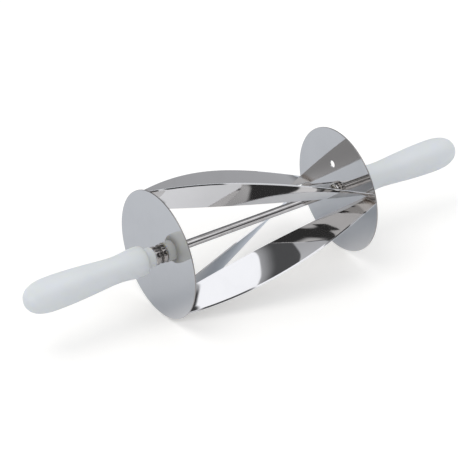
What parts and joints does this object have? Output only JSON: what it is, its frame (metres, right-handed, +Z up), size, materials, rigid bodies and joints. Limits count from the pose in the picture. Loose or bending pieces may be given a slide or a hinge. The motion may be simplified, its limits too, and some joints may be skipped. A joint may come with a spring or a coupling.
{
  "type": "croissant cutter",
  "caption": "Rolling croissant cutter: polished steel end discs joined by twisted blades form a drum that turns on an axle between white plastic handles and cuts dough into triangles.",
  "frame": {"origin": "on the surface the tool stands on, below the middle of the drum", "axes": "+X along the axle towards the disc with the hanging hole, +Z up, -Y towards the viewer"},
  "size_m": [0.4294, 0.11, 0.11],
  "materials": {
    "mirror_steel": "mirror-polished stainless steel, not plated",
    "turned_steel": "turned stainless steel, bright",
    "spring_steel": "plain spring steel",
    "brass_insert": "turned brass",
    "white_polyethylene": "satin, slightly translucent white polyethylene",
    "nylon": "natural nylon"
  },
  "bodies": {
    "handles_and_axle": {"axle": "turned_steel", "left_retaining_ring": "spring_steel", "right_retaining_ring": "spring_steel", "left_thrust_washer": "spring_steel", "right_thrust_washer": "spring_steel", "left_collar": "turned_steel", "right_collar": "turned_steel", "left_insert": "brass_insert", "right_insert": "brass_insert", "left_handle": "white_polyethylene", "right_handle": "white_polyethylene"},
    "drum": {"left_disc": "mirror_steel", "right_disc": "mirror_steel", "upper_front_blade": "mirror_steel", "upper_rear_blade": "mirror_steel", "lower_rear_blade": "mirror_steel", "lower_front_blade": "mirror_steel", "left_hub": "turned_steel", "right_hub": "turned_steel", "left_bush": "nylon", "right_bush": "nylon"}
  },
  "joints": [
    {"name": "drum_spin", "type": "hinge", "parent": "handles_and_axle", "child": "drum", "pos_m": [0, 0, 0.055], "axis": [1, 0, 0], "continuous": true}
  ]
}
